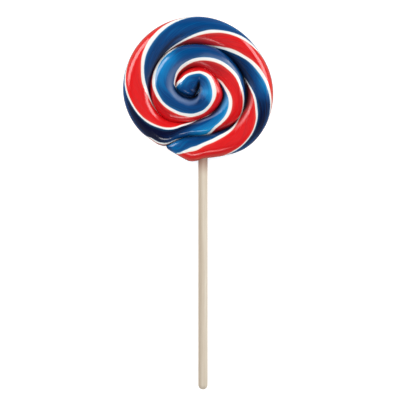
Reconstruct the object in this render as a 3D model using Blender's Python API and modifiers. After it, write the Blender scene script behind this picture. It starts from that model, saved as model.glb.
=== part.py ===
"""Swirl lollipop: one striped rope of boiled sugar, coiled flat and fused, on a birch stick.

The lollipop lies on its back, with its face up (+Z) and its stick pointing to -Y. The coil is
drawn about its heart. An angle called the winding runs clockwise from +X, on through all the
turns. One groove line gives the distance from the heart to the rope's inner edge; a full turn
further on, the same line is the rope's outer edge, so neighbouring turns share it and fuse.
"""
import math

import bmesh
import bpy

MM = 0.001
TURN = 360

# heights, in millimetres
CANDY_THICKNESS = 12.0
CREST = CANDY_THICKNESS / 2          # from mid-height to the top of the rope
BACK_CREST = 6.5                     # the back would bulge this far, but is pressed flat
BACK_LIP = 3.9                       # from mid-height down to a groove on the back
SECTION_POWER = 2.3                  # 2 is an ellipse, more is squarer

# the groove: (winding in degrees, distance from the heart in millimetres)
GROOVE = (
    (-270, 1.8), (-200, 0.6), (-130, 0.7), (-106, 1.2), (-84, 3.4), (-62, 1.2), (-38, 0.7),
    (60, 1.1), (90, 1.8), (119, 4.0), (146, 6.3), (166, 8.7), (187, 11.4), (225, 11.8),
    (270, 11.3), (315, 11.0), (345, 11.6), (375, 13.3), (405, 13.5), (450, 15.4), (475, 18.7),
    (495, 22.0), (515, 23.8), (540, 24.5), (585, 24.9), (630, 23.4), (675, 23.2), (720, 24.7),
    (750, 25.4), (765, 25.1), (790, 23.4), (815, 23.6), (826, 25.4), (834, 28.4), (840, 32.8),
    (855, 35.2), (880, 37.5), (900, 38.4), (930, 38.5), (990, 37.6), (1040, 36.8), (1080, 38.4),
    (1110, 39.1), (1130, 38.5), (1150, 36.0), (1162, 35.2), (1178, 36.7), (1188, 35.1),
    (1200, 32.8),
)
# how deep the groove is below the crest: (winding in degrees, depth in millimetres)
GROOVE_DEPTH = (
    (-270, 5.2), (40, 5.2), (90, 5.1), (140, 4.3), (187, 3.2), (230, 2.9), (270, 2.9), (1200, 2.9),
)
# how far the stripes have turned over: (winding in degrees, turn of the pattern in degrees)
TWIST = (
    (-270, 135), (-200, 125), (-80, 114), (15, 103), (140, 105), (187, 125), (240, 158),
    (305, 186), (350, 219), (378, 255), (410, 279), (455, 314), (487, 351), (535, 399),
    (570, 450), (597, 478), (640, 547), (690, 623), (717, 666), (737, 714), (758, 746),
    (783, 774), (810, 803), (826, 850), (840, 960),
)

# windings, in degrees
START = -270                         # where the rope begins, beside the heart
END = 840                            # where its cut end dies out against the turn inside it
RIM_START = END - TURN               # from here on the outer edge is the lollipop's rim
STEP = 6                             # between two cross-sections
START_TAPER = 80                     # over which the first end rises to full height
END_TAPER = 34                       # over which the cut end falls away
RIM_BLEND = 14                       # over which a fused side turns into a free one

# columns of faces from the groove to the crest, down the rim, and under the back
TOP_COLUMNS = 5
RIM_COLUMNS = 5
BACK_COLUMNS = 3

# stripes, in degrees round the rope: blue, white, red, white, and the same again
STRIPE_REPEAT = 180
BLUE_BAND = 98
WHITE_BESIDE_RED = 21
WHITE_BESIDE_BLUE = 16
HIDDEN_FLANK = 10                    # skin shut in between two turns, on each side

# the stick, in millimetres, with its ends measured from the heart
STICK_DIAMETER = 4.76                # a 3/16 inch dowel
STICK_TIP = 153.3
STICK_BURIED_END = 6.6
STICK_OFFSET = 2.5                   # to the right of the heart
STICK_SIDES = 32
STICK_CHAMFER = 0.5
DOME_STEPS = 6
FIT_GAP = 0.3
BORE_MOUTH = 45.0                    # beyond the rim, from the heart

WELD = 1e-6                          # metres
SHARP_ANGLE = 40                     # degrees

# colour and roughness
SUGAR = {
    "sugar_blue": ((0.004, 0.085, 0.31, 1.0), 0.12),
    "sugar_red": ((0.72, 0.018, 0.022, 1.0), 0.12),
    "sugar_white": ((0.90, 0.87, 0.80, 1.0), 0.14),
}
BLUE, RED, WHITE = range(3)
BIRCH = ((0.76, 0.61, 0.44, 1.0), 0.62)


def curve_through(stations, x):
    """Height at x of a smooth curve through hand-set stations."""
    last = len(stations) - 1
    x = min(max(x, stations[0][0]), stations[last][0])
    i = next(k for k in range(last) if x <= stations[k + 1][0])

    def slope(k):
        run = stations[k + 1][0] - stations[k][0]
        return (stations[k + 1][1] - stations[k][1]) / run

    def tangent(k):
        if k in (0, last):
            return slope(min(k, last - 1))
        before = stations[k][0] - stations[k - 1][0]
        after = stations[k + 1][0] - stations[k][0]
        return (slope(k - 1) * after + slope(k) * before) / (before + after)

    run = stations[i + 1][0] - stations[i][0]
    u = (x - stations[i][0]) / run
    level = stations[i][1] * (2 * u**3 - 3 * u**2 + 1) + stations[i + 1][1] * (3 * u**2 - 2 * u**3)
    lean = tangent(i) * (u**3 - 2 * u**2 + u) + tangent(i + 1) * (u**3 - u**2)
    return level + run * lean


def ease(x):
    """0 up to 0, 1 from 1 on, smooth between."""
    x = min(max(x, 0.0), 1.0)
    return x * x * (3 - 2 * x)


def shoulder(x):
    """A quarter circle from 0 at 0 up to 1 at 1."""
    x = min(max(x, 0.0), 1.0)
    return math.sqrt(1 - (1 - x) ** 2)


def quarter(lip, crest, columns, free):
    """A quarter of the rope's section, from its lip to its crest.

    Each point is (share of the half-width, height, angle round the rope). A fused side is
    cut off upright where it meets the next turn; a free side keeps its round belly.
    """
    power = 2 / SECTION_POWER
    lip_angle = math.asin(min(1.0, lip / crest) ** (1 / power))
    cut = 1 / max(math.cos(lip_angle), 0.01) ** power
    points = []
    for k in range(columns + 1):
        angle = lip_angle + (math.pi / 2 - lip_angle) * k / columns
        reach = (cut + (1 - cut) * free) * math.cos(angle) ** power
        fused_look = HIDDEN_FLANK + (90 - HIDDEN_FLANK) * k / columns
        look = fused_look + (math.degrees(angle) - fused_look) * free
        points.append((min(1.0, reach), crest * math.sin(angle) ** power, look))
    return points


def rim(lip, crest, back_crest, free):
    """The side between the top lip and the back lip: upright where fused, round where free."""
    power = 2 / SECTION_POWER
    high = math.asin(min(1.0, lip / crest) ** (1 / power))
    low = -math.asin(min(1.0, BACK_LIP / back_crest) ** (1 / power))
    points = []
    for k in range(1, RIM_COLUMNS):
        angle = high + (low - high) * k / RIM_COLUMNS
        bulge = crest if angle > 0 else back_crest
        round_height = math.copysign(bulge * abs(math.sin(angle)) ** power, angle)
        upright_height = lip - (lip + BACK_LIP) * k / RIM_COLUMNS
        reach = 1 + (math.cos(angle) ** power - 1) * free
        height = upright_height + (round_height - upright_height) * free
        points.append((reach, height, 180 - math.degrees(angle)))
    return points


def section(winding):
    """The rope's outline at one winding, from its inner lip over the top to its inner back lip.

    Each point is (distance from the heart, height above mid-height, angle round the rope).
    """
    inner = curve_through(GROOVE, winding)
    outer = curve_through(GROOVE, winding + TURN)
    middle = (outer + inner) / 2
    half = (outer - inner) / 2
    lip_in = CREST - curve_through(GROOVE_DEPTH, winding)
    lip_out = CREST - curve_through(GROOVE_DEPTH, winding + TURN)
    full = shoulder((winding - START) / START_TAPER) * shoulder((END - winding) / END_TAPER)
    crest = max(lip_in, lip_out) + (CREST - max(lip_in, lip_out)) * full
    back_crest = BACK_LIP + (BACK_CREST - BACK_LIP) * full
    free = ease((winding - RIM_START) / RIM_BLEND) * ease((END - winding) / RIM_BLEND)

    top_in = quarter(lip_in, crest, TOP_COLUMNS, 0)
    top_out = quarter(lip_out, crest, TOP_COLUMNS, free)
    back_out = quarter(BACK_LIP, back_crest, BACK_COLUMNS, free)
    back_in = quarter(BACK_LIP, back_crest, BACK_COLUMNS, 0)
    outline = [(middle - half * reach, height, look) for reach, height, look in top_in]
    outline += [(middle + half * reach, height, 180 - look) for reach, height, look in top_out[-2::-1]]
    side = rim(lip_out, crest, back_crest, free)
    outline += [(middle + half * reach, height, look) for reach, height, look in side]
    outline += [(middle + half * reach, -height, 180 + look) for reach, height, look in back_out]
    outline += [(middle - half * reach, -height, 360 - look) for reach, height, look in back_in[-2::-1]]
    return [(distance, max(height, -CREST), look) for distance, height, look in outline]


def place(winding, distance, height):
    """A point in metres, standing on the table, from its place on the coil."""
    angle = -math.radians(winding)
    return (distance * math.cos(angle) * MM, distance * math.sin(angle) * MM, (CREST + height) * MM)


def sugar_at(winding, look):
    """Which colour of sugar shows at this angle round the rope."""
    band = (curve_through(TWIST, winding) - look) % STRIPE_REPEAT
    beside_red = min(band, STRIPE_REPEAT - band)
    if beside_red < WHITE_BESIDE_RED / 2 or abs(band - BLUE_BAND) < WHITE_BESIDE_BLUE / 2:
        return WHITE
    return BLUE if band < BLUE_BAND else RED


def extrude_ring(bm, ring):
    """Grow one more ring from the last one; the new vertices come back in the same order."""
    edges = [bm.edges.get(pair) for pair in zip(ring, ring[1:])]
    grown = set(bmesh.ops.extrude_edge_only(bm, edges=edges)["geom"])
    return [next(e.other_vert(v) for e in v.link_edges if e.other_vert(v) in grown) for v in ring]


def coil_mesh():
    """Sweep the rope along its three turns and weld the turns where they touch."""
    bm = bmesh.new()
    outline = section(START)
    ring = [bm.verts.new(place(START, point[0], point[1])) for point in outline]
    for pair in zip(ring, ring[1:]):
        bm.edges.new(pair)
    first_flank = 2 * TOP_COLUMNS
    shut_in = []
    for winding in range(START + STEP, END + 1, STEP):
        outline = section(winding)
        grown = extrude_ring(bm, ring)
        for vert, point in zip(grown, outline):
            vert.co = place(winding, point[0], point[1])
        for k in range(len(ring) - 1):
            face = bm.faces.get((ring[k], ring[k + 1], grown[k + 1], grown[k]))
            face.material_index = sugar_at(winding - STEP / 2, (outline[k][2] + outline[k + 1][2]) / 2)
            if winding <= RIM_START and first_flank <= k < first_flank + RIM_COLUMNS:
                shut_in.append(face)
        ring = grown
    bmesh.ops.delete(bm, geom=shut_in, context="FACES")
    bmesh.ops.remove_doubles(bm, verts=bm.verts, dist=WELD)
    bmesh.ops.holes_fill(bm, edges=[e for e in bm.edges if e.is_boundary], sides=0)
    bmesh.ops.triangulate(bm, faces=bm.faces, quad_method="SHORT_EDGE", ngon_method="EAR_CLIP")
    bmesh.ops.recalc_face_normals(bm, faces=bm.faces)
    mesh = bpy.data.meshes.new("candy")
    bm.to_mesh(mesh)
    bm.free()
    return mesh


def plain_material(name, colour, roughness):
    """A Principled material with one colour."""
    material = bpy.data.materials.new(name)
    material.use_nodes = True
    shader = material.node_tree.nodes["Principled BSDF"]
    shader.inputs["Base Color"].default_value = colour
    shader.inputs["Roughness"].default_value = roughness
    shader.inputs["Metallic"].default_value = 0.0
    return material


def make_candy(parts):
    """The fused coil of striped rope."""
    mesh = coil_mesh()
    for name, (colour, roughness) in SUGAR.items():
        mesh.materials.append(plain_material(name, colour, roughness))
    mesh.shade_smooth()
    mesh.set_sharp_from_angle(angle=math.radians(SHARP_ANGLE))
    candy = bpy.data.objects.new("candy", mesh)
    parts.objects.link(candy)
    return candy


def make_stick(parts):
    """A turned dowel along -Y: a domed free end, a chamfered end inside the candy."""
    radius = STICK_DIAMETER / 2
    length = STICK_TIP - STICK_BURIED_END
    profile = [(0, length), (radius - STICK_CHAMFER, length), (radius, length - STICK_CHAMFER)]
    for k in range(DOME_STEPS + 1):
        angle = math.pi / 2 * k / DOME_STEPS
        profile.append((radius * math.cos(angle), radius - radius * math.sin(angle)))
    bm = bmesh.new()
    verts = [bm.verts.new((x * MM, 0, z * MM)) for x, z in profile]
    for pair in zip(verts, verts[1:]):
        bm.edges.new(pair)
    mesh = bpy.data.meshes.new("stick")
    bm.to_mesh(mesh)
    bm.free()
    mesh.materials.append(plain_material("birch", *BIRCH))
    stick = bpy.data.objects.new("stick", mesh)
    turned = stick.modifiers.new("turned", "SCREW")
    turned.steps = STICK_SIDES
    turned.render_steps = STICK_SIDES
    turned.use_merge_vertices = True
    turned.merge_threshold = WELD
    turned.use_smooth_shade = True
    stick.location = (STICK_OFFSET * MM, -STICK_TIP * MM, CREST * MM)
    stick.rotation_euler = (-math.pi / 2, 0, 0)
    parts.objects.link(stick)
    return stick


def bore_for_stick(candy, cutters):
    """The blind hole that the stick is set in."""
    depth = BORE_MOUTH - STICK_BURIED_END + FIT_GAP
    bpy.ops.mesh.primitive_cylinder_add(
        vertices=STICK_SIDES,
        radius=(STICK_DIAMETER / 2 + FIT_GAP) * MM,
        depth=depth * MM,
        location=(STICK_OFFSET * MM, (depth / 2 - BORE_MOUTH) * MM, CREST * MM),
        rotation=(math.pi / 2, 0, 0),
    )
    bore = bpy.context.object
    bore.name = "stick_bore"
    for collection in list(bore.users_collection):
        collection.objects.unlink(bore)
    cutters.objects.link(bore)
    bore.hide_render = True
    bore.display_type = "WIRE"
    cut = candy.modifiers.new("stick bore", "BOOLEAN")
    cut.operation = "DIFFERENCE"
    cut.object = bore
    return bore


def centre_over_origin(candy, others):
    """Hang everything on one empty, moved so that the middle of the lollipop's box is at the origin."""
    xs = [vert.co.x for vert in candy.data.vertices]
    top = max(vert.co.y for vert in candy.data.vertices)
    middle = ((min(xs) + max(xs)) / 2, (top - STICK_TIP * MM) / 2)
    heart = bpy.data.objects.new("heart", None)
    candy.users_collection[0].objects.link(heart)
    heart.location = (-middle[0], -middle[1], 0)
    for piece in (candy, *others):
        piece.parent = heart


def new_collection(name):
    """A collection in the scene."""
    collection = bpy.data.collections.new(name)
    bpy.context.scene.collection.children.link(collection)
    return collection


def main():
    """Build the lollipop."""
    for leftover in list(bpy.data.objects):
        bpy.data.objects.remove(leftover)
    parts = new_collection("lollipop")
    cutters = new_collection("cutters")
    candy = make_candy(parts)
    stick = make_stick(parts)
    bore = bore_for_stick(candy, cutters)
    centre_over_origin(candy, (stick, bore))


main()
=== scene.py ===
# %% [markdown]
# # A swirl lollipop, dressed for its picture
#
# The real thing is one rope of boiled sugar, laid up from blue, red and white strands. While it
# is warm the rope is rolled, which twists the strands round it, then wound flat about its own
# end and pressed onto a stick, so that the turns fuse. The solids of the candy and the stick are
# already made and stay where they are. This script gives them their fine surface: the rope with
# its creases, the stripes that wander round it, the gloss of the sugar and the grain of the wood.

# %% Load the fixed solids
import math

import bmesh
import bpy
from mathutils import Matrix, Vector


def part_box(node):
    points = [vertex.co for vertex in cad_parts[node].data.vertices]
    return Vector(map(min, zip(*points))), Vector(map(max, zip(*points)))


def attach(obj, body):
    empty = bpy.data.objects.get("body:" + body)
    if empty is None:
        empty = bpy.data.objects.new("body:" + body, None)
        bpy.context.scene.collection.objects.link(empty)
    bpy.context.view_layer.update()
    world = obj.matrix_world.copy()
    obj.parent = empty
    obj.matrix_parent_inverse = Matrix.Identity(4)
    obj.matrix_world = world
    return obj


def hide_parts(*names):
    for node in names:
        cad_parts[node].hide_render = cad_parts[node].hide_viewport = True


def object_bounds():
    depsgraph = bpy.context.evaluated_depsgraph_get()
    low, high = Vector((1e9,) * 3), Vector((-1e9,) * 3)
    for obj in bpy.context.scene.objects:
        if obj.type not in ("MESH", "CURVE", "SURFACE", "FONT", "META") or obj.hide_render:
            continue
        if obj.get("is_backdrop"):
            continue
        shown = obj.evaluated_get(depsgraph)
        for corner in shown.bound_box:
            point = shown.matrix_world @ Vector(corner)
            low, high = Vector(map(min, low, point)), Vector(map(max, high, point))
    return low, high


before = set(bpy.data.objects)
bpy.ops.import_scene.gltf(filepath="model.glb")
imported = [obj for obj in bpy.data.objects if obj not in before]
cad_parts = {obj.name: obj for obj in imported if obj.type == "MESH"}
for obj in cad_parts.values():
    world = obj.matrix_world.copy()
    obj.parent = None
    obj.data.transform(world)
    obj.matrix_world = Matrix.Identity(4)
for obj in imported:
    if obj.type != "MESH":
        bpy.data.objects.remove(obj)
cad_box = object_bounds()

MM = 0.001
print("solids:", sorted(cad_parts))
print("their box in mm:", [[round(c / MM, 2) for c in corner] for corner in cad_box])

# %% [markdown]
# ## Curves through a few stations
#
# Almost everything about a rope that was wound by hand changes along it: how wide it is, how far it
# has twisted, how dark its sugar is. A formula would make each change too even. So each one is a
# short list of stations set against the photo, with a smooth curve through them. This kind of curve
# never swings past its stations, so a flat stretch stays flat.

# %% A smooth curve through given stations


def curve_through(stations, x):
    """Height at x of a smooth curve through (x, height) stations."""
    last = len(stations) - 1
    x = min(max(x, stations[0][0]), stations[last][0])
    i = next(k for k in range(last) if x <= stations[k + 1][0])

    def slope(k):
        run = stations[k + 1][0] - stations[k][0]
        return (stations[k + 1][1] - stations[k][1]) / run

    def tangent(k):
        if k in (0, last):
            return slope(min(k, last - 1))
        if slope(k - 1) * slope(k) <= 0:
            return 0.0
        before = stations[k][0] - stations[k - 1][0]
        after = stations[k + 1][0] - stations[k][0]
        steady = (slope(k - 1) * after + slope(k) * before) / (before + after)
        return math.copysign(min(abs(steady), 3 * abs(slope(k - 1)), 3 * abs(slope(k))), steady)

    run = stations[i + 1][0] - stations[i][0]
    u = (x - stations[i][0]) / run
    level = stations[i][1] * (2 * u**3 - 3 * u**2 + 1) + stations[i + 1][1] * (3 * u**2 - 2 * u**3)
    lean = tangent(i) * (u**3 - 2 * u**2 + u) + tangent(i + 1) * (u**3 - u**2)
    return level + run * lean


print("halfway from 0 to 1:", curve_through(((0, 0), (1, 1)), 0.5))

# %% [markdown]
# ## The groove that rules the coil
#
# A coil could be drawn as turn after turn of separate rings, but the eye then finds the gaps. It
# is simpler to see that neighbouring turns share one groove. The *winding* is an angle that runs
# clockwise from +X, on and on through every turn. One smooth curve gives the distance of the
# groove from the heart; one full turn later the same curve is the outer edge of the same stretch
# of rope. The rope is pinched where its cut end lies over it, and it bulges beside the stick.

# %% Stations of the groove
TURN = 360
# winding in degrees, distance from the heart in millimetres
GROOVE = (
    (-240, 4.05), (-226, 1.6), (-200, 0.6), (-130, 0.7), (-106, 1.2), (-84, 3.4), (-62, 1.2),
    (-38, 0.7), (60, 1.1), (90, 1.8), (120, 4.05), (146, 6.3), (166, 8.7), (187, 11.4),
    (225, 11.85), (250, 11.75), (270, 11.55), (315, 11.0), (345, 11.6), (375, 13.3),
    (405, 13.5), (450, 15.4), (475, 18.7), (495, 22.0), (515, 23.8), (540, 24.5), (585, 24.9),
    (630, 23.4), (675, 23.2), (720, 24.8), (750, 25.4), (765, 25.1), (790, 23.4), (815, 23.6),
    (826, 25.4), (834, 28.4), (840, 32.8), (855, 35.2), (880, 37.5), (900, 38.4), (930, 38.5),
    (990, 37.6), (1040, 36.8), (1080, 38.4), (1110, 39.1), (1130, 38.5), (1150, 36.0),
    (1162, 35.2), (1176, 36.7), (1184, 35.5), (1190, 34.6), (1195, 34.15), (1198.5, 33.6),
    (1200, 32.8),
)
START = GROOVE[0][0]
END = GROOVE[-1][0] - TURN
RIM_START = END - TURN               # from here on the outer side of the rope is the free rim
print("the rope winds through", END - START, "degrees")

# %% [markdown]
# ## How deep the creases are, and where the rope stands off
#
# A crease is deepest where two turns only lean on each other, and shallow where they were pressed
# into one. Round the heart they don't meet at all, which leaves an open pit beside the rope's
# start. The start itself is a small nose, whose crest leans outwards.

# %% Stations of the depth, the pit and the lean
# winding in degrees, depth of the groove below the crest in millimetres
GROOVE_DEPTH = (
    (-270, 5.2), (40, 5.2), (90, 5.1), (140, 4.8), (187, 4.4), (240, 4.3), (262, 3.8),
    (280, 2.6), (300, 2.0), (318, 2.2), (335, 3.4), (350, 4.2), (400, 4.4), (420, 4.0),
    (440, 2.9), (465, 2.9), (490, 3.4), (520, 3.8), (600, 4.4), (660, 3.8), (700, 4.4),
    (750, 4.4), (785, 3.6), (800, 2.9), (824, 2.9), (833, 3.7), (840, 5.4), (850, 4.2),
    (870, 3.6), (1180, 3.6), (1192, 4.2), (1200, 5.4),
)
# winding in degrees, half the width of the open pit in millimetres
PIT = (
    (-270, 0.05), (70, 0.05), (92, 0.3), (120, 0.8), (146, 1.1), (166, 0.8), (184, 0.25),
    (200, 0.05), (700, 0.05), (714, 0.5), (734, 0.5), (754, 0.05), (1200, 0.05),
)
# winding in degrees, how far the crest leans outwards from the middle in millimetres
LEAN = (
    (-240, 0), (-200, 0.8), (-150, 0.5), (-112, 0.6), (-84, 0), (-56, 0.6), (-18, 0.4), (30, 0),
    (840, 0),
)
print("depth of the groove from %.1f to %.1f mm" % (
    min(d for w, d in GROOVE_DEPTH), max(d for w, d in GROOVE_DEPTH)))

# %% [markdown]
# ## Where the heart lies
#
# The solids say where the candy is, so the heart is found from the candy's box: the groove curve
# tells how far the rim reaches up and to the right of the heart.

# %% Find the heart and the mid-height of the candy
SOLID_STEP = 6                       # degrees between the cross-sections of the solid
candy_low, candy_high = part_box("candy")
rim = [(curve_through(GROOVE, w), -math.radians(w)) for w in range(END, END + TURN + 1, SOLID_STEP)]
reach_right = max(r * math.cos(a) for r, a in rim)
reach_up = max(r * math.sin(a) for r, a in rim)
HEART_X = candy_high[0] / MM - reach_right
HEART_Y = candy_high[1] / MM - reach_up
CREST = (candy_high[2] - candy_low[2]) / MM / 2
print("heart at %.2f, %.2f mm, half-thickness %.2f mm" % (HEART_X, HEART_Y, CREST))

# %% [markdown]
# ## Camera
#
# The lollipop was pictured face on. Here it lies on its back, so the camera hangs over it and
# looks straight down, with the stick towards the bottom of the picture. A long lens keeps the
# rope from swelling towards the camera.

# %% Hang the camera over the face
FRAME_WIDTH = 204.8                  # millimetres across the picture, at mid-height
VIEW_CENTRE = (1.0, 56.3)            # right of the heart, and below it, in millimetres
LENS = 135.0
SENSOR = 36.0
NEAREST = 0.01                       # metres from which the camera sees

camera = bpy.data.objects.new("camera", bpy.data.cameras.new("camera"))
camera.data.lens = LENS
camera.data.sensor_width = SENSOR
camera.data.clip_start = NEAREST
distance = FRAME_WIDTH * LENS / SENSOR
camera.location = (
    (HEART_X + VIEW_CENTRE[0]) * MM,
    (HEART_Y - VIEW_CENTRE[1]) * MM,
    (CREST + distance) * MM,
)
bpy.context.scene.collection.objects.link(camera)
bpy.context.scene.camera = camera
print("camera %.0f mm above the candy" % distance)

# %% [markdown]
# ## Table
#
# The photo has a pure white ground with hardly a shadow. White paper under plain lamps would come
# out grey, so the table glows a little, as a lit sheet of acrylic does. It doesn't show in the
# sugar's gloss, because the undersides of the turns would shine like chrome.

# %% Lay the table
TABLE_SIZE = 3.0
TABLE_GAP = 0.0001                   # metres below the candy, so that the two faces don't flicker
TABLE_GLOW = 0.70
TABLE_GREY = 0.60
TABLE_ROUGHNESS = 0.9

scene = bpy.context.scene
scene.view_settings.view_transform = "Standard"

bpy.ops.mesh.primitive_plane_add(size=TABLE_SIZE, location=(0, 0, candy_low[2] - TABLE_GAP))
table = bpy.context.object
table.name = "table"
acrylic = bpy.data.materials.new("lit acrylic")
acrylic.use_nodes = True
shader = acrylic.node_tree.nodes["Principled BSDF"]
shader.inputs["Base Color"].default_value = (TABLE_GREY, TABLE_GREY, TABLE_GREY, 1.0)
shader.inputs["Roughness"].default_value = TABLE_ROUGHNESS
shader.inputs["Emission Color"].default_value = (1.0, 1.0, 1.0, 1.0)
shader.inputs["Emission Strength"].default_value = TABLE_GLOW
table.data.materials.append(acrylic)
table.visible_glossy = False
table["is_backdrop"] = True
print("table:", TABLE_SIZE, "m wide")

# %% [markdown]
# ## Lights and surroundings
#
# Glossy sugar shows what is around it more than what shines on it. Two large soft boxes, low on
# the left and on the right, lay a streak along each turn, and a narrow one near the stick lays a
# short streak across the lowest turns. Most of the light comes from straight above. A
# photographer would put a polariser on that lamp, so that it brings out the colours and leaves no
# reflection, and here it is hidden from gloss in the same way. The sky is dark overhead, so that
# the crests stay deep in colour, and pale towards the horizon, so that the edges stand out.

# %% Light the candy
LAMP_DISTANCE = 0.60                 # metres from the heart
PALE = (0.17, 0.178, 0.186, 1.0)
OVERHEAD = (0.02, 0.02, 0.025, 1.0)
PALE_UP_TO = 0.35                    # upward part of the direction; 0 is level, 1 straight up
DARK_FROM = 0.75


def soft_box(name, direction, elevation, length, width, power):
    """A rectangular lamp that faces the candy, its long side level; angles in degrees."""
    lamp = bpy.data.lights.new(name, "AREA")
    lamp.shape = "RECTANGLE"
    lamp.size = length
    lamp.size_y = width
    lamp.energy = power
    box = bpy.data.objects.new(name, lamp)
    turn = math.radians(direction)
    rise = math.radians(elevation)
    box.location = (
        HEART_X * MM + LAMP_DISTANCE * math.cos(rise) * math.cos(turn),
        HEART_Y * MM + LAMP_DISTANCE * math.cos(rise) * math.sin(turn),
        CREST * MM + LAMP_DISTANCE * math.sin(rise),
    )
    box.rotation_euler = (math.pi / 2 - rise, 0, turn + math.pi / 2)
    scene.collection.objects.link(box)
    return box


soft_box("left soft box", direction=150, elevation=28, length=0.40, width=0.30, power=2.0)
soft_box("right soft box", direction=28, elevation=28, length=0.40, width=0.30, power=2.0)
soft_box("near soft box", direction=262, elevation=43, length=0.40, width=0.10, power=0.65)
overhead = soft_box(
    "polarised overhead light", direction=90, elevation=89, length=0.60, width=0.60, power=1.82)
overhead.visible_glossy = False

world = bpy.data.worlds.new("studio")
scene.world = world
world.use_nodes = True
sky = world.node_tree
sky_place = sky.nodes.new("ShaderNodeTexCoord")
sky_height = sky.nodes.new("ShaderNodeSeparateXYZ")
sky_blend = sky.nodes.new("ShaderNodeValToRGB")
sky_blend.color_ramp.elements[0].position = PALE_UP_TO
sky_blend.color_ramp.elements[0].color = PALE
sky_blend.color_ramp.elements[1].position = DARK_FROM
sky_blend.color_ramp.elements[1].color = OVERHEAD
sky.links.new(sky_place.outputs["Generated"], sky_height.inputs[0])
sky.links.new(sky_height.outputs["Z"], sky_blend.inputs["Fac"])
sky.links.new(sky_blend.outputs["Color"], sky.nodes["Background"].inputs["Color"])

# %% [markdown]
# ## A quarter of the rope's section
#
# Cut the rope across and it is nearly round, a little squarer than an ellipse, so a superellipse
# draws it. It is drawn a quarter at a time, from the lip where it meets the next turn up to its
# crest, because no two quarters have the same width or height. With every point goes its *look*:
# the angle round the rope, 90 at the crest, less on the inner side and more on the outer side. It
# is called so because the strands are painted by it.

# %% Eases and the quarter outline
SECTION_POWER = 2.3
FLATTEST = 0.01                      # keeps the sum below from dividing by nothing


def ease(x):
    """0 up to 0, 1 from 1 on, smooth between."""
    x = min(max(x, 0.0), 1.0)
    return x * x * (3 - 2 * x)


def ease_between(x, ends):
    """0 on the near side of the first end, 1 beyond the second, smooth between."""
    return ease((x - ends[0]) / (ends[1] - ends[0]))


def shoulder(x):
    """A quarter circle from 0 at 0 up to 1 at 1."""
    x = min(max(x, 0.0), 1.0)
    return math.sqrt(1 - (1 - x) ** 2)


def lip_angle(lip, crest):
    """Angle on the superellipse at which the rope is as high as its lip."""
    return math.asin(min(1.0, lip / crest) ** (SECTION_POWER / 2))


def quarter(lip, crest, columns, free):
    """A quarter of the section, from the lip to the crest: (share of half-width, height, look).

    A fused side is widened so that its lip reaches the groove; a free one keeps its round shape.
    """
    power = 2 / SECTION_POWER
    edge = lip_angle(lip, crest)
    cut = 1 / max(math.cos(edge), FLATTEST) ** power
    points = []
    for k in range(columns + 1):
        angle = edge + (math.pi / 2 - edge) * k / columns
        reach = (cut + (1 - cut) * free) * math.cos(angle) ** power
        points.append((min(1.0, reach), crest * math.sin(angle) ** power, math.degrees(angle)))
    return points


print("a quarter of 3 points:", [[round(v, 2) for v in p] for p in quarter(2.0, 6.0, 2, 0)])

# %% [markdown]
# ## The whole section
#
# Where the rope lies against the next turn it is cut off upright, and only a hair's breadth of a
# crease runs on down between them. On the last turn the outer side is free and keeps its round
# belly. The back was pressed flat on a slab while the sugar was warm. The rope tapers at both
# ends, because its cut ends were rolled to a point.

# %% Outline of the rope at one winding
BACK_CREST = 6.5                     # millimetres below mid-height, before it is pressed flat
BACK_LIP = 3.9
CREASE = 0.5                         # how far the crease runs on below the lip
CREASE_LOOK = 8                      # look at the bottom of a crease
START_TAPER = 100                    # degrees of winding over which the start grows to full height
END_TAPER = 34
RIM_BLEND = 14                       # degrees over which a fused side turns into the free rim
TOP_COLUMNS = 20
RIM_COLUMNS = 16
BACK_COLUMNS = 10


def side(lip, crest, back_crest, free):
    """The side below the lips: upright where fused, a round belly where free."""
    power = 2 / SECTION_POWER
    high = lip_angle(lip, crest)
    low = -lip_angle(BACK_LIP, back_crest)
    points = []
    for k in range(RIM_COLUMNS + 1):
        share = (k + 1) / (RIM_COLUMNS + 2)
        angle = high + (low - high) * share
        bulge = crest if angle > 0 else back_crest
        round_height = math.copysign(bulge * abs(math.sin(angle)) ** power, angle)
        upright_height = lip - CREASE - (lip + BACK_LIP - 2 * CREASE) * k / RIM_COLUMNS
        reach = 1 + (math.cos(angle) ** power - 1) * free
        height = upright_height + (round_height - upright_height) * free
        points.append((reach, height, 180 - math.degrees(angle)))
    return points


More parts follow.
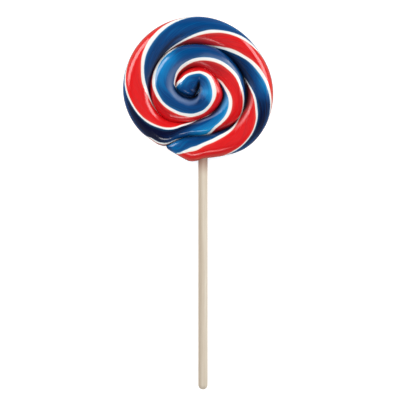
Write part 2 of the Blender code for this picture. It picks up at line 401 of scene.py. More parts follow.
def section(winding):
    """The rope's outline, from the inner crease over the top and back to the inner crease.

    Each point is (distance from the heart, height above mid-height, look).
    """
    inner = curve_through(GROOVE, winding)
    outer = curve_through(GROOVE, winding + TURN)
    middle = (outer + inner) / 2 + curve_through(LEAN, winding)
    lip_in = CREST - curve_through(GROOVE_DEPTH, winding)
    lip_out = CREST - curve_through(GROOVE_DEPTH, winding + TURN)
    full = shoulder((winding - START) / START_TAPER) * shoulder((END - winding) / END_TAPER)
    crest = max(lip_in, lip_out) + (CREST - max(lip_in, lip_out)) * full
    back_crest = BACK_LIP + (BACK_CREST - BACK_LIP) * full
    free = ease((winding - RIM_START) / RIM_BLEND) * ease((END - winding) / RIM_BLEND)
    half_in = max(0.0, middle - inner - curve_through(PIT, winding))
    half_out = max(0.0, outer - middle - curve_through(PIT, winding + TURN) * (1 - free))

    outline = [(inner, lip_in - CREASE, CREASE_LOOK)]
    for reach, height, look in quarter(lip_in, crest, TOP_COLUMNS, 0):
        outline.append((middle - half_in * reach, height, look))
    for reach, height, look in quarter(lip_out, crest, TOP_COLUMNS, free)[-2::-1]:
        outline.append((middle + half_out * reach, height, 180 - look))
    for reach, height, look in side(lip_out, crest, back_crest, free):
        outline.append((middle + (outer - middle) * reach, height, look))
    for reach, height, look in quarter(BACK_LIP, back_crest, BACK_COLUMNS, free):
        outline.append((middle + half_out * reach, -height, 180 + look))
    for reach, height, look in quarter(BACK_LIP, back_crest, BACK_COLUMNS, 0)[-2::-1]:
        outline.append((middle - half_in * reach, -height, 360 - look))
    outline.append((inner, CREASE - BACK_LIP, 360 - CREASE_LOOK))
    return [(distance, max(height, -CREST), look) for distance, height, look in outline]


print("points in one section:", len(section(0)))

# %% [markdown]
# ## How the strands turn round the rope
#
# Rolling the warm rope twists its strands, more in some places than in others, and winding it up
# spreads the strands on top and crowds them in the creases. The twist says how far the pattern has
# turned over at the crest. The spreads say how closely the strands keep their places on the way
# down from it. Take both out, and every strand is a straight band along the rope.

# %% Twist and spread of the strands
# winding in degrees, how far the pattern of strands has turned over in degrees
TWIST = (
    (-270, 118), (-200, 116), (-140, 115), (-110, 108), (-85, 103.5), (-55, 107.5), (-30, 105.5),
    (10, 101), (30, 105.5), (50, 112), (80, 119.5), (100, 116.5), (120, 108), (137, 104),
    (150, 107), (170, 117), (190, 133), (210, 143.5), (230, 151), (260, 167), (300, 188),
    (340, 213), (360, 228), (380, 255), (400, 273), (412, 281), (430, 302), (450, 315),
    (470, 326), (490, 352), (510, 370), (530, 392), (550, 425), (570, 452), (590, 475),
    (610, 503), (630, 533), (650, 562), (670, 597), (690, 627), (710, 652), (730, 687),
    (740, 706), (750, 727), (770, 765), (790, 788), (810, 808), (820, 822), (822, 829),
    (824, 839), (826, 854), (828, 867), (830, 866), (840, 858),
)
# winding in degrees, how closely the strands keep their places; below 1 the top strand spreads
SPREAD_INWARDS = (
    (-270, 0.3), (-168, 0.4), (-38, 0.6), (15, 0.85), (140, 0.84), (170, 0.72), (186, 0.67),
    (193, 0.9), (205, 0.88), (220, 0.94), (235, 0.93), (250, 0.88), (265, 0.92), (290, 1),
    (305, 0.9), (325, 0.87), (345, 1), (425, 1), (440, 0.8), (452, 0.7), (461, 0.85), (470, 1),
    (818, 1), (825, 0.8), (828, 0.15), (830, 0), (840, 0),
)
SPREAD_OUTWARDS = (
    (-240, 0.12), (-180, 0.12), (-168, 0.36), (-160, 0.52), (-145, 0.9), (-115, 1), (175, 1),
    (190, 0.95), (220, 0.93), (234, 1), (245, 0.88), (262, 0.9), (278, 1), (424, 1),
    (432, 0.75), (440, 0.55), (450, 0.6), (460, 0.66), (470, 0.75), (480, 1.2), (486, 1.28),
    (490, 1.28), (494, 1.28), (498, 1.1), (503, 0.95), (512, 1), (770, 1), (780, 0.9),
    (786, 0.76), (792, 0.66), (800, 0.7), (810, 0.8), (820, 0.93), (828, 1), (830, 0.45),
    (840, 0.4),
)


def strand_angle(winding, look):
    """Angle round the rope with the twist taken out."""
    spread = curve_through(SPREAD_INWARDS if look < 90 else SPREAD_OUTWARDS, winding)
    return curve_through(TWIST, winding) - 90 - (look - 90) * spread


print("the strands turn round the rope %.1f times" % (
    (curve_through(TWIST, END) - curve_through(TWIST, START)) / TURN))

# %% [markdown]
# ## How wide the strands are
#
# A strand of warm sugar is pulled thin in one place and left thick in the next. The blue strand
# sets how much room the red one gets, and the thin white strands between them swell and shrink by
# themselves. Widths are in degrees round the rope, where the whole pattern repeats after 180.

# %% Widths of the strands
# winding in degrees, width of the blue strand
BLUE_WIDTH = (
    (-270, 98), (320, 99), (370, 102), (410, 98), (490, 96), (520, 93), (550, 94), (580, 98),
    (610, 100), (640, 102), (665, 109), (690, 105), (710, 92), (728, 77), (740, 79), (755, 88),
    (770, 97), (840, 96),
)
# winding in degrees, width of the white strand between the blue and the red outside it
WHITE_OUTSIDE = (
    (-270, 15), (-170, 15), (-150, 17), (-125, 15), (-95, 15), (-60, 18), (-20, 22), (20, 18),
    (45, 14), (80, 15), (110, 13), (130, 10), (155, 10), (178, 17), (200, 21), (350, 18),
    (365, 23), (390, 15), (405, 13), (430, 16), (465, 14), (482, 20), (492, 20), (505, 13),
    (530, 13), (542, 19), (565, 12), (585, 20), (605, 22), (660, 15), (670, 18), (690, 11),
    (705, 17), (735, 13), (770, 15), (785, 18), (810, 14), (840, 18),
)
# winding in degrees, width of the white strand between the red and the blue outside it
WHITE_INSIDE = (
    (-270, 14), (200, 10), (235, 17), (270, 14), (300, 11), (330, 17), (350, 16), (380, 14),
    (470, 20), (482, 13), (505, 7), (530, 9), (545, 11), (600, 10), (630, 12), (650, 10),
    (680, 19), (700, 14), (730, 11), (750, 6), (770, 6), (785, 10), (840, 12),
)
WIDTHS = {"blue width": BLUE_WIDTH, "white outside": WHITE_OUTSIDE, "white inside": WHITE_INSIDE}
print("widths that the mesh will carry:", list(WIDTHS))

# %% [markdown]
# ## How deep the colours are
#
# The blue is clear azure where the strand is thin and nearly navy where it is thick or folded, and it
# differs between the two slopes of the rope; some of its azure stretches are painted highlights and
# some of its navy ones painted shade. The red only goes from bright to crimson, and some of its
# crimson is painted shade. Noise could vary them, but it would put the dark places anywhere, so they
# too are stations.

# %% Depth of the blue and of the red
# winding in degrees, depth of the blue on the inner slope: -2 bright azure, 0 blue, 1 navy; some
# azure stretches paint highlights, some navy ones paint shade
BLUE_INWARDS = (
    (-240, 0.8), (-200, 0.6), (-168, 0.2), (-140, -0.1), (-110, 0.05), (-60, -0.1), (-20, -0.7),
    (20, -1.6), (38, -1.2), (60, -0.2), (90, 0.4), (120, 0.1), (180, -0.1), (240, 0.1),
    (300, 0), (360, -0.5), (380, -1.5), (396, -1.4), (412, -0.7), (425, -0.1), (450, 0.6),
    (480, 1.2), (500, 1.3), (540, 0.6), (560, 0.3), (600, 0.4), (640, 0.4), (690, 0.5),
    (720, 0.5), (750, 1.1), (780, 0.5), (810, 0.1), (820, -0.2), (828, -0.8), (834, -1.5),
    (840, -1.9),
)
# winding in degrees, depth of the blue on the outer slope, which paints highlights and shade in the
# same way
BLUE_OUTWARDS = (
    (-240, 0.4), (-180, 0), (-156, -0.5), (-120, -0.4), (-90, -0.4), (-30, -0.9), (10, -1.4),
    (36, -1), (60, 0), (120, 0.05), (150, 0.1), (175, -0.3), (195, -0.9), (207, -1.4),
    (225, -1.4), (238, -0.4), (250, 0.05), (330, 0.1), (370, 0), (395, -1.2), (425, -1.8),
    (440, -1.7), (452, -1.1), (465, 0), (480, 0.7), (497, 1.3), (520, 1.1), (550, 0.2),
    (600, -0.4), (625, 0.05), (655, 0.1), (670, 0.4), (685, 0.1), (700, -1), (712, -1.3),
    (722, -0.5), (732, 0.8), (765, 1.1), (800, 0.2), (820, 0), (829, -0.5), (835, -0.2),
    (840, 1),
)
# winding in degrees, depth of the red: 0 bright, 1 crimson; some crimson stretches paint shade
DEPTH_OF_RED = (
    (-180, 0.3), (-60, 0.2), (0, 0), (40, 0.1), (70, 0.6), (120, 0.5), (180, 0.8), (240, 1),
    (300, 1), (330, 0.45), (360, 0.25), (400, 0.4), (430, 0.9), (480, 0.2), (540, 0),
    (600, 0.1), (630, 0.7), (660, 0.5), (700, 0.2), (750, 0.1), (790, 0.1), (840, 0.2),
)
BLUE_TURNS = (60, 120)               # look at which the inner tone of blue ends and the outer begins


def depth_of_blue_at(winding, look):
    """Depth of the blue, carried over from the inner slope to the outer one."""
    inner_blue = curve_through(BLUE_INWARDS, winding)
    outwards = ease_between(look, BLUE_TURNS)
    return inner_blue + (curve_through(BLUE_OUTWARDS, winding) - inner_blue) * outwards


print("blue on the crest to the right of the heart: %.2f" % depth_of_blue_at(0, 90))

# %% [markdown]
# ## Painted sheen and matt sugar
#
# A greyish streak of painted sheen, a soft reflection laid into the colour, follows the inner slope
# round the heart and over the top of the first turn. Where it lies the sugar is also dull, and the
# inner slope is matt in places. Both take away the gloss further on.

# %% Where the sheen is painted and the sugar is dull
# winding in degrees, how strong the painted sheen is on the inner slope, which also dulls the sugar
# there
SHEEN_AND_DULLNESS = (
    (-110, 0), (-70, 0.3), (-45, 0.8), (0, 1), (60, 1), (84, 0.7), (96, 0.5), (120, 0.6),
    (144, 0.85), (168, 0.7), (192, 0.6), (228, 0.4), (262, 0.1), (280, 0.2), (300, 0.35),
    (312, 0.45), (330, 0.5), (345, 0.35), (358, 0), (400, 0), (412, 0.8), (435, 0.8),
    (450, 0.3), (470, 0),
)
# winding in degrees, look in the middle of that painted sheen
SHEEN_AT = (
    (60, 25), (80, 35), (96, 58), (120, 56), (140, 48), (170, 52), (200, 62), (240, 66),
    (262, 68), (285, 90), (300, 96), (312, 108), (336, 116), (358, 118), (362, 55),
)
# winding in degrees, degrees of look from its middle to its edges
SHEEN_REACH = ((60, 30), (96, 27), (300, 27), (400, 16), (412, 12), (435, 12), (450, 20))
# winding in degrees, how matt the inner slope is
MATT = (
    (-240, 0.3), (-100, 0.2), (-50, 1), (50, 1), (90, 0.3), (225, 0.2), (235, 1), (255, 1),
    (270, 0.3), (360, 0.3), (374, 0.6), (400, 0.4), (412, 0), (540, 0), (560, 0.3), (590, 0.5),
    (625, 0.4), (650, 0.1), (705, 0.1), (715, 0.3), (728, 0.3), (742, 0.1), (752, 0.3),
    (765, 0.3), (780, 0),
)
MATT_ENDS = (55, 85)                 # look at which the matt slope starts to clear, and is clear


def sheen_and_dullness_at(winding, look):
    """Strength of the painted sheen at one place, which also dulls the sugar."""
    off_middle = abs(look - curve_through(SHEEN_AT, winding)) / curve_through(SHEEN_REACH, winding)
    return curve_through(SHEEN_AND_DULLNESS, winding) * (1 - ease(off_middle))


def matt_at(winding, look):
    """How matt the sugar is at one place."""
    return curve_through(MATT, winding) * (1 - ease_between(look, MATT_ENDS))


print("bloom below the heart: %.2f, matt: %.2f" % (sheen_and_dullness_at(90, 50), matt_at(90, 50)))

# %% [markdown]
# ## Painted shade in the creases, a paler rim
#
# Light hardly gets into a crease of clear sugar, so shade is painted there: the colour sinks to
# nearly black, over a broad band or a narrow one. The start of the rope lies at the bottom of the pit
# and is painted as dark. The free rim has no crease. There its blue is clearer and its red is paler.

# %% Painted shade, the paler rim and all tones together
# winding in degrees, how dark the painted shade on the inner slope grows towards the crease
INNER_SHADE = (
    (-240, 1.3), (-120, 1.2), (-90, 1), (-60, 0.4), (-30, 0), (65, 0), (90, 0.8), (120, 0.9),
    (150, 0.4), (180, 0.4), (240, 0.6), (258, 0.35), (275, 0.1), (300, 0), (318, 0.05),
    (335, 0.4), (365, 0.8), (390, 1), (405, 1.7), (460, 1.7), (475, 0.4), (500, 0.15),
    (530, 0.15), (562, 1), (600, 1.1), (630, 0.8), (650, 0.6), (690, 1.1), (700, 1.2),
    (732, 1.5), (750, 0.6), (780, 0.8), (810, 0.7), (822, 1), (840, 1),
)
# winding in degrees, look at which the painted shade on the outer slope starts
OUTER_SHADE = (
    (-270, 160), (-130, 160), (-100, 172), (-45, 172), (-20, 156), (5, 144), (90, 140),
    (115, 156), (150, 156), (170, 148), (200, 146), (240, 156), (310, 156), (335, 142),
    (370, 142), (395, 150), (408, 112), (430, 108), (445, 122), (475, 128), (500, 150),
    (840, 156),
)
CREASE_INSIDE = (66, 22)             # look at which the broad shade of a crease begins, and is full
CREASE_OUTSIDE = 174                 # look at which it is full on the outer slope
DEEPEST = (20, 12)                   # look at which a crease starts to turn black, and is black
BROAD_SHADE = 0.9
NARROW_GAIN = 2                      # how much sooner the narrow shade is full than the broad one
BURIED = 30                          # degrees of winding over which the painted shade of the start fades as it comes out of the pit
RIM_PALES = (128, 165)                # look at which the free rim starts to turn paler, and is fully so
RIM_CLEARS = 0.7                     # how much clearer the blue is on the free rim
TONES = ("depth of blue", "depth of red", "sheen_and_dullness", "matt", "paler_rim", "crease")


def tones(winding, look):
    """Depth of blue and of red, painted sheen, mattness, paler rim and painted shade of the crease at
    one place.
    """
    blue = depth_of_blue_at(winding, look)
    red = curve_through(DEPTH_OF_RED, winding)
    sheen_and_dullness = sheen_and_dullness_at(winding, look)
    matt = matt_at(winding, look)
    buried = 1 - ease((winding - START) / BURIED)
    if look < 90:
        shade = curve_through(INNER_SHADE, winding)
        broad = BROAD_SHADE * min(1.0, ease_between(look, CREASE_INSIDE) * shade)
        narrow = ease_between(look, DEEPEST) * min(1.0, NARROW_GAIN * shade)
        return blue, red, sheen_and_dullness, matt, 0.0, max(buried, broad, narrow)
    free = ease((winding - RIM_START) / RIM_BLEND)
    paler_rim = free * ease_between(look, RIM_PALES)
    begin = curve_through(OUTER_SHADE, winding)
    crease = (1 - free) * ease_between(look, (begin, CREASE_OUTSIDE))
    return blue - RIM_CLEARS * paler_rim, red, sheen_and_dullness, matt, paler_rim, max(buried, crease)


print("tones at the heart's right:", dict(zip(TONES, [round(t, 2) for t in tones(0, 60)])))

# %% [markdown]
# ## Bending the skin of the rope into a coil
#
# The skin of the rope starts as a flat sheet from `bmesh.ops.create_grid`, with one row for each
# cross-section and one column for each point round it. Every row is then laid on its own outline,
# so the sheet rolls up into three turns. Every face corner also remembers where it is on the rope:
# how far round, measured against the twist, and how far along. The stripes are painted by that
# map, and each point carries its widths and tones as attributes, which a material can read.

# %% Roll up the sheet
STEP = 1.5                           # degrees between two rings


def place(winding, distance, height):
    """A point in metres from its place on the coil."""
    angle = -math.radians(winding)
    return (
        (HEART_X + distance * math.cos(angle)) * MM,
        (HEART_Y + distance * math.sin(angle)) * MM,
        candy_low[2] + (CREST + height) * MM,
    )


columns = len(section(START)) - 1
rows = round((END - START) / STEP)
bm = bmesh.new()
bmesh.ops.create_grid(bm, x_segments=columns, y_segments=rows, size=0.5)
rope = bm.loops.layers.uv.new("rope")
layers = {name: bm.verts.layers.float.new(name) for name in (*WIDTHS, *TONES)}
sheet = {(round((v.co.y + 0.5) * rows), round((v.co.x + 0.5) * columns)): v for v in bm.verts}
marks = {}
length = 0.0
for row in range(rows + 1):
    winding = START + row * STEP
    outline = section(winding)
    widths = [curve_through(stations, winding) for stations in WIDTHS.values()]
    for column, (distance, height, look) in enumerate(outline):
        vert = sheet[row, column]
        vert.co = place(winding, distance, height)
        for layer, value in zip(layers.values(), (*widths, *tones(winding, look))):
            vert[layer] = value
        marks[vert] = (strand_angle(winding, look) / TURN, length)
    length += math.radians(STEP) * outline[TOP_COLUMNS + 1][0] * MM
for face in bm.faces:
    for corner in face.loops:
        corner[rope].uv = marks[corner.vert]
print("sheet:", len(bm.faces), "faces, the rope is %.0f mm long" % (length / MM))

# %% [markdown]
# ## Fusing the turns
#
# Real turns melt into each other, and no skin is left between them. So where a side is shut in
# against the next turn its faces are taken out, and `remove_doubles` welds the two turns along the
# bottom of their crease. The two cut ends are closed with `holes_fill`, and the candy ends as one
# closed skin.

# %% Weld the turns
WELD = 1e-6                          # metres

first_side = 2 + 2 * TOP_COLUMNS
shut_in = []
for row in range(round((RIM_START - START) / STEP)):
    for column in range(first_side, first_side + RIM_COLUMNS):
        beside = set(sheet[row, column].link_faces)
        shut_in += beside & set(sheet[row + 1, column + 1].link_faces)
bmesh.ops.delete(bm, geom=shut_in, context="FACES")
bmesh.ops.remove_doubles(bm, verts=bm.verts, dist=WELD)
bmesh.ops.holes_fill(bm, edges=[e for e in bm.edges if e.is_boundary], sides=0)
bmesh.ops.recalc_face_normals(bm, faces=bm.faces)
loose = [e for e in bm.edges if not e.is_manifold]
print("candy:", len(bm.faces), "faces, open edges:", len(loose))
swirl_mesh = bpy.data.meshes.new("swirl")
bm.to_mesh(swirl_mesh)
bm.free()
swirl_mesh.shade_smooth()
swirl = bpy.data.objects.new("swirl", swirl_mesh)
scene.collection.objects.link(swirl)

# %% [markdown]
# ## Small helpers for materials
#
# A material is a net of nodes. These helpers keep each line of it short: `add` makes a node,
# `maths` does one sum, `ramp` carries a value over to another range, and `blend` mixes two colours
# by a mask.

# %% Helpers for node nets
MIX_FACTOR, MIX_FIRST, MIX_SECOND, MIX_RESULT = 0, 6, 7, 2      # the colour sockets of a Mix node


def linear(channel):
    """One channel as seen on screen, 0 to 255, as the linear value that Blender works in."""
    share = channel / 255
    return share / 12.92 if channel <= 10 else ((share + 0.055) / 1.055) ** 2.4


def srgb(red, green, blue):
    """A colour as seen on screen."""
    return (linear(red), linear(green), linear(blue), 1.0)


def add(tree, kind, **settings):
    """A new node with its settings."""
    made = tree.nodes.new(kind)
    for key, value in settings.items():
        setattr(made, key, value)
    return made


def feed(tree, socket, value):
    """Link a socket, or set it to a plain value."""
    if isinstance(value, bpy.types.NodeSocket):
        tree.links.new(value, socket)
    else:
        socket.default_value = value


def maths(tree, operation, *values):
    """The result of one sum."""
    made = add(tree, "ShaderNodeMath", operation=operation)
    for socket, value in zip(made.inputs, values):
        feed(tree, socket, value)
    return made.outputs[0]


def ramp(tree, value, low, high, to_low=0.0, to_high=1.0):
    """A value smoothly carried over from one range to another."""
    made = add(tree, "ShaderNodeMapRange", interpolation_type="SMOOTHSTEP")
    ends = {"From Min": low, "From Max": high, "To Min": to_low, "To Max": to_high}
    feed(tree, made.inputs["Value"], value)
    for name, number in ends.items():
        feed(tree, made.inputs[name], number)
    return made.outputs["Result"]


def blend(tree, mask, first, second, mode="MIX"):
    """The first colour where the mask is 0, the second where it is 1."""
    made = add(tree, "ShaderNodeMix", data_type="RGBA", blend_type=mode)
    feed(tree, made.inputs[MIX_FACTOR], mask)
    feed(tree, made.inputs[MIX_FIRST], first)
    feed(tree, made.inputs[MIX_SECOND], second)
    return made.outputs[MIX_RESULT]


print("mid-grey on screen is %.3f in linear light" % srgb(128, 128, 128)[0])

# %% [markdown]
# ## Long streaks, for sugar and for wood
#
# Pulled sugar and wood have one thing in common: fine lines that run a long way. Both come from
# noise that is squeezed across the lines and stretched along them, so this is a node group with
# its own inputs, placed once in each material.

# %% A node group for long streaks
NOISE_SPAN = (0.3, 0.7)              # between these lies nearly all of what the noise gives

streaks = bpy.data.node_groups.new("long streaks", "ShaderNodeTree")
streaks.interface.new_socket(name="Vector", in_out="INPUT", socket_type="NodeSocketVector")
streaks.interface.new_socket(name="Scale", in_out="INPUT", socket_type="NodeSocketVector")
streaks.interface.new_socket(name="Detail", in_out="INPUT", socket_type="NodeSocketFloat")
streaks.interface.new_socket(name="Streak", in_out="OUTPUT", socket_type="NodeSocketFloat")
group_in = streaks.nodes.new("NodeGroupInput")
group_out = streaks.nodes.new("NodeGroupOutput")
squeeze = add(streaks, "ShaderNodeVectorMath", operation="MULTIPLY")
streaks.links.new(group_in.outputs["Vector"], squeeze.inputs[0])
streaks.links.new(group_in.outputs["Scale"], squeeze.inputs[1])
noise = add(streaks, "ShaderNodeTexNoise")
streaks.links.new(squeeze.outputs[0], noise.inputs["Vector"])
streaks.links.new(group_in.outputs["Detail"], noise.inputs["Detail"])
noise.inputs["Scale"].default_value = 1.0
streaks.links.new(noise.outputs["Fac"], group_out.inputs["Streak"])


def streak(tree, vector, scale, detail):
    """Place the streak group and give its value."""
    made = add(tree, "ShaderNodeGroup", node_tree=streaks)
    feed(tree, made.inputs["Vector"], vector)
    made.inputs["Scale"].default_value = scale
    made.inputs["Detail"].default_value = detail
    return made.outputs["Streak"]


print("nodes in the streak group:", len(streaks.nodes))

# %% [markdown]
# ## Striped sugar: where each strand runs
#
# Round the rope lie eight strands: blue, white, red, white, and the same again. The rope map gives
# the angle round the rope with the twist taken out, so every strand is a straight band in it, and
# the distance from a band's edge says which colour a point has. The edges wander a little and
# are soft, because hot sugar bleeds.

# %% The bands of the strands
STRIPE_REPEAT = 180.0                # degrees round the rope from one blue strand to the next
BLEED = 2.2                          # degrees over which two colours run into each other
HALF_HIDDEN = 1.0                    # half of that between blue and red, hidden by the white
WANDER = 2.5                         # degrees that the edges of the strands wander
WANDER_SCALE = (3.0, 45.0, 1.0)      # noise for each turn round the rope, and each metre along it

sugar = bpy.data.materials.new("striped sugar")
sugar.use_nodes = True
net = sugar.node_tree
gloss = net.nodes["Principled BSDF"]


def attribute(name):
    """A value that the mesh carries at each point."""
    return add(net, "ShaderNodeAttribute", attribute_name=name).outputs["Fac"]


rope_map = add(net, "ShaderNodeUVMap", uv_map="rope").outputs["UV"]
split = add(net, "ShaderNodeSeparateXYZ")
net.links.new(rope_map, split.inputs[0])
around = maths(net, "MULTIPLY", split.outputs["X"], float(TURN))
wobble = maths(net, "SUBTRACT", streak(net, rope_map, WANDER_SCALE, 2.0), 0.5)
around = maths(net, "ADD", around, maths(net, "MULTIPLY", wobble, WANDER))
band = maths(net, "WRAP", around, STRIPE_REPEAT, 0.0)
past_blue = maths(net, "SUBTRACT", band, attribute("blue width"))
to_outside = maths(net, "MINIMUM", band, maths(net, "SUBTRACT", STRIPE_REPEAT, band))
to_inside = maths(net, "ABSOLUTE", past_blue)
half_outside = maths(net, "DIVIDE", attribute("white outside"), 2.0)
half_inside = maths(net, "DIVIDE", attribute("white inside"), 2.0)
past_outside = maths(net, "SUBTRACT", to_outside, half_outside)
past_inside = maths(net, "SUBTRACT", to_inside, half_inside)
from_white = maths(net, "MINIMUM", past_outside, past_inside)
is_white = ramp(net, from_white, -BLEED / 2, BLEED / 2, 1.0, 0.0)
is_red = ramp(net, past_blue, -HALF_HIDDEN, HALF_HIDDEN)
print("nodes so far:", len(net.nodes))

# %% [markdown]
# ## Striped sugar: blue and red
#
# Each colour is mixed from a clear tone to a deep one by the depth that the mesh carries, with a slow
# drift and fine streaks from the noise on top; some of those depths paint highlights and shade. The
# blue also takes up the painted sheen, and the red turns paler towards the free rim. Close to a white
# strand both colours are paler, because white sugar shows through the thin edge.

# %% Blue and red
NAVY = srgb(8, 14, 48)
BLUE = srgb(0, 67, 127)
AZURE = srgb(0, 114, 180)
BRIGHT_AZURE = srgb(0, 156, 220)
LIGHT_AZURE = srgb(60, 172, 222)
# colour of the painted sheen
PAINTED_SHEEN_BLUE = srgb(112, 136, 176)
CRIMSON = srgb(184, 16, 26)
RED = srgb(232, 21, 25)
RIM_RED = srgb(216, 92, 76)
PINK = srgb(250, 100, 84)
FINE_SCALE = (60.0, 30.0, 1.0)
BROAD_SCALE = (9.0, 22.0, 1.0)
DRIFT = 0.2                          # how far the slow noise shifts a depth, up and down
STREAKINESS = 0.25                   # how far the fine noise does
PALE_REACH = 11.0                    # degrees from a white strand to where a colour is full
SHOWS_THROUGH = (0.55, 0.1)          # share of pale blue at the edge of clear and of deep blue
CLEAR_TO_DEEP = (-1.0, 0.3)          # depths of blue that the two shares stand for
PINK_SHARE = 0.25
RIM_RED_SHARE = 0.7

depth_of_blue = attribute("depth of blue")
sheen_and_dullness = attribute("sheen_and_dullness")
fine = streak(net, rope_map, FINE_SCALE, 3.0)
broad = streak(net, rope_map, BROAD_SCALE, 2.0)
drift = ramp(net, broad, *NOISE_SPAN, -DRIFT, DRIFT)
streaky = ramp(net, fine, *NOISE_SPAN, -STREAKINESS, STREAKINESS)
near_white = ramp(net, from_white, 0.0, PALE_REACH, 1.0, 0.0)

# the depth carries the strand's own tone, and also some painted highlights and shade
depth = maths(net, "ADD", maths(net, "ADD", depth_of_blue, drift), streaky)
blue = blend(net, ramp(net, depth, -2.0, -1.0), BRIGHT_AZURE, AZURE)
blue = blend(net, ramp(net, depth, -1.0, 0.0), blue, BLUE)
blue = blend(net, ramp(net, depth, 0.0, 1.0), blue, NAVY)
# painted sheen: a greyish-blue reflection laid into the blue, where the sugar is also dull
blue = blend(net, sheen_and_dullness, blue, PAINTED_SHEEN_BLUE)
clear = maths(net, "MULTIPLY", near_white, ramp(net, depth_of_blue, *CLEAR_TO_DEEP, *SHOWS_THROUGH))
blue = blend(net, clear, blue, LIGHT_AZURE)

# the depth of red, whose crimson stretches partly paint shade
red_depth = maths(net, "ADD", maths(net, "ADD", attribute("depth of red"), drift), streaky)
red = blend(net, ramp(net, red_depth, 0.0, 1.0), RED, CRIMSON)
# the red turns paler towards the free rim
red = blend(net, maths(net, "MULTIPLY", attribute("paler_rim"), RIM_RED_SHARE), red, RIM_RED)
red = blend(net, maths(net, "MULTIPLY", near_white, PINK_SHARE), red, PINK)
print("nodes so far:", len(net.nodes))

# %% [markdown]
# ## Striped sugar: white, and painted shade in the creases
#
# The white is cream in its middle and takes a hint of its neighbour's colour at the edge. A crease
# gets painted shade, which darkens blue and red over its whole width, but a white strand stays white
# until the very bottom, where everything is painted black.

# %% White, and the shade of the creases
CREAM = srgb(252, 250, 244)
BLUISH_WHITE = srgb(226, 238, 250)
ROSY_WHITE = srgb(255, 226, 214)
# the painted shade of a crease, and the painted black at its bottom
SHADE = (0.16, 0.10, 0.16, 1.0)
BLACK = (0.004, 0.003, 0.010, 1.0)
TINT_REACH = 4.5                     # degrees into a white strand that it is tinted
BLACK_FROM = 0.85                    # shade of the crease beyond which all colours turn black

crease = attribute("crease")
colour = blend(net, is_red, blue, red)
# painted shade of the creases darkens blue and red
colour = blend(net, crease, colour, SHADE, "MULTIPLY")
tint = blend(net, is_red, BLUISH_WHITE, ROSY_WHITE)
white = blend(net, ramp(net, from_white, -TINT_REACH, 0.0), CREAM, tint)
colour = blend(net, is_white, colour, white)
# painted black at the bottom of a crease and at the start in the pit
colour = blend(net, ramp(net, crease, BLACK_FROM, 1.0), colour, BLACK)
net.links.new(colour, gloss.inputs["Base Color"])
print("nodes so far:", len(net.nodes))

# %% [markdown]
# ## Striped sugar: the gloss
#
# Boiled sugar has two glosses: that of its streaky body, and that of a smooth skin on top, which is
# what a coat is for. The painted sheen and matt places roughen the body and take away the skin, and a
# crease does so too. The fine streaks are also a slight bump, so that reflections break up.

# %% Gloss of the sugar
BODY_ROUGHNESS = (0.13, 0.25)
DULLING = 0.45                       # roughness that the painted sheen or matt sugar adds
CREASE_DULLING = 0.25
COAT = 0.4
COAT_GONE = 0.36                     # added roughness at which no skin is left
COAT_ROUGHNESS = 0.05
SUGAR_IOR = 1.5
SUGAR_BUMP = 0.15
SUGAR_BUMP_HEIGHT = 0.0002           # metres

dull = maths(net, "MULTIPLY", maths(net, "MAXIMUM", attribute("matt"), sheen_and_dullness), DULLING)
dullness = maths(net, "ADD", dull, maths(net, "MULTIPLY", crease, CREASE_DULLING))
roughness = maths(net, "ADD", ramp(net, fine, *NOISE_SPAN, *BODY_ROUGHNESS), dullness)
net.links.new(roughness, gloss.inputs["Roughness"])
net.links.new(ramp(net, dullness, 0.0, COAT_GONE, COAT, 0.0), gloss.inputs["Coat Weight"])
bump = add(net, "ShaderNodeBump")
bump.inputs["Strength"].default_value = SUGAR_BUMP
bump.inputs["Distance"].default_value = SUGAR_BUMP_HEIGHT
net.links.new(fine, bump.inputs["Height"])
net.links.new(bump.outputs["Normal"], gloss.inputs["Normal"])
gloss.inputs["IOR"].default_value = SUGAR_IOR
gloss.inputs["Coat Roughness"].default_value = COAT_ROUGHNESS

swirl.data.materials.append(sugar)
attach(swirl, "root")
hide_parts("candy")
print("the sugar's net has", len(net.nodes), "nodes")

# %% [markdown]
# ## The stick
#
# The stick is a birch dowel with a rounded end. Its profile is a few points, and
# `bmesh.ops.spin` turns them round the dowel's axis, as a lathe would. A cylinder with a bevel
# would do for the shaft, but the lathe also gives the domed end. The shaft has rings along it, so
# that its faces aren't long slivers.

# %% Turn the stick
stick_low, stick_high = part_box("stick")
RADIUS = (stick_high[0] - stick_low[0]) / 2
STICK_X = (stick_high[0] + stick_low[0]) / 2
STICK_Z = (stick_high[2] + stick_low[2]) / 2
STICK_SIDES = 64
DOME_STEPS = 12
CHAMFER = 0.5 * MM
RINGS_ALONG = 60

profile = []
for k in range(DOME_STEPS + 1):
    angle = math.pi / 2 * k / DOME_STEPS
    profile.append((RADIUS * math.sin(angle), stick_low[1] + RADIUS * (1 - math.cos(angle))))
shaft = stick_high[1] - CHAMFER - stick_low[1] - RADIUS
for k in range(1, RINGS_ALONG + 1):
    profile.append((RADIUS, stick_low[1] + RADIUS + shaft * k / RINGS_ALONG))
profile.append((RADIUS - CHAMFER, stick_high[1]))
profile.append((0.0, stick_high[1]))

bm = bmesh.new()
verts = [bm.verts.new((STICK_X + r, y, STICK_Z)) for r, y in profile]
edges = [bm.edges.new(pair) for pair in zip(verts, verts[1:])]
bmesh.ops.spin(
    bm, geom=verts + edges, cent=(STICK_X, 0, STICK_Z), axis=(0, 1, 0),
    angle=math.tau, steps=STICK_SIDES, use_merge=True,
)
bmesh.ops.remove_doubles(bm, verts=bm.verts, dist=WELD)
bmesh.ops.recalc_face_normals(bm, faces=bm.faces)
loose = [e for e in bm.edges if not e.is_manifold]
print("stick:", len(bm.faces), "faces, open edges:", len(loose))
dowel_mesh = bpy.data.meshes.new("dowel")
bm.to_mesh(dowel_mesh)
bm.free()
dowel_mesh.shade_smooth()
dowel = bpy.data.objects.new("dowel", dowel_mesh)
scene.collection.objects.link(dowel)
print("%.1f mm long, %.2f mm thick" % ((stick_high[1] - stick_low[1]) / MM, 2 * RADIUS / MM))
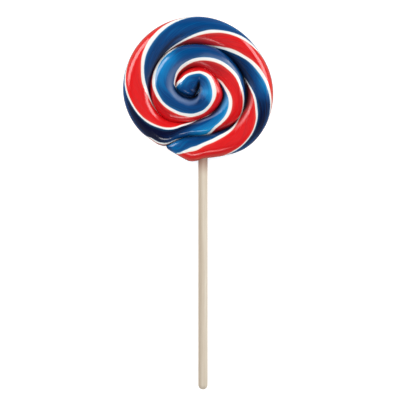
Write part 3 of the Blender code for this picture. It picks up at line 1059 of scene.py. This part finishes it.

# %% [markdown]
# ## Birch
#
# Bare birch is pale, with fine long grain and short darker pores. Shade is painted on the dowel: one
# side and the opposite edge are darker. Close to the candy lies a painted shadow of the candy, with a
# reddish syrup tint. The streak group gives the grain, and plain gradients across and along the dowel
# the rest.

# %% Wood for the stick
BIRCH = srgb(219, 205, 184)
PALE_BIRCH = srgb(236, 226, 208)
PORES = srgb(188, 162, 132)
# colour of the shade painted on the dowel
SHADED_BIRCH = srgb(164, 142, 118)
# colour of the candy's painted shadow on the stick, with a syrup tint
SHADOW_AND_SYRUP = srgb(150, 104, 88)
GRAIN_SCALE = (2500.0, 60.0, 2500.0)
TONE_SCALE = (500.0, 12.0, 500.0)
PORES_SHOW = (0.55, 0.75, 0.0, 0.35)     # grain from and to, and how strong the pores are there
# painted shade: one side of the dowel and the opposite edge are darker
SHADED_SIDE = (-1.0, 0.5, 0.62, 0.0)   # from and to across the dowel in radii, and how dark there
SHADED_EDGE = (0.7, 1.0, 0.0, 0.35)
RIM_BELOW_HEART = 35.6               # millimetres
SHADOW_AND_STAIN_LENGTH = 9.0                   # millimetres of stick below the rim that carry the painted shadow and syrup tint
SHADOW_AND_STAIN = 0.7
WOOD_ROUGHNESS = 0.6
WOOD_BUMP = 0.3
WOOD_BUMP_HEIGHT = 0.0001            # metres

birch = bpy.data.materials.new("birch")
birch.use_nodes = True
net = birch.node_tree
wood = net.nodes["Principled BSDF"]
place_map = add(net, "ShaderNodeTexCoord").outputs["Object"]
grain = streak(net, place_map, GRAIN_SCALE, 3.0)
tone = streak(net, place_map, TONE_SCALE, 2.0)
wood_colour = blend(net, ramp(net, tone, *NOISE_SPAN), BIRCH, PALE_BIRCH)
wood_colour = blend(net, ramp(net, grain, *PORES_SHOW), wood_colour, PORES)
where = add(net, "ShaderNodeSeparateXYZ")
net.links.new(place_map, where.inputs[0])
across = maths(net, "DIVIDE", maths(net, "SUBTRACT", where.outputs["X"], STICK_X), RADIUS)
# paint the shade on one side and on the opposite edge
for shading in (SHADED_SIDE, SHADED_EDGE):
    wood_colour = blend(net, ramp(net, across, *shading), wood_colour, SHADED_BIRCH)
rim_y = (HEART_Y - RIM_BELOW_HEART) * MM
# painted shadow of the candy on the stick, with a syrup tint
shadow_and_stain = ramp(net, where.outputs["Y"], rim_y - SHADOW_AND_STAIN_LENGTH * MM, rim_y, 0.0, SHADOW_AND_STAIN)
wood_colour = blend(net, shadow_and_stain, wood_colour, SHADOW_AND_SYRUP)
net.links.new(wood_colour, wood.inputs["Base Color"])
wood.inputs["Roughness"].default_value = WOOD_ROUGHNESS
bump = add(net, "ShaderNodeBump")
bump.inputs["Strength"].default_value = WOOD_BUMP
bump.inputs["Distance"].default_value = WOOD_BUMP_HEIGHT
net.links.new(grain, bump.inputs["Height"])
net.links.new(bump.outputs["Normal"], wood.inputs["Normal"])
dowel_mesh.materials.append(birch)
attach(dowel, "root")
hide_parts("stick")
print("the wood's net has", len(net.nodes), "nodes")

# %% [markdown]
# ## Check the size
#
# The dressed lollipop must fill the same box as the solids. The largest difference between the two
# boxes is printed.

# %% Compare the two boxes
new_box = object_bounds()
gaps = [abs(a - b) for old, new in zip(cad_box, new_box) for a, b in zip(old, new)]
print("largest difference in mm:", round(max(gaps) / MM, 3))
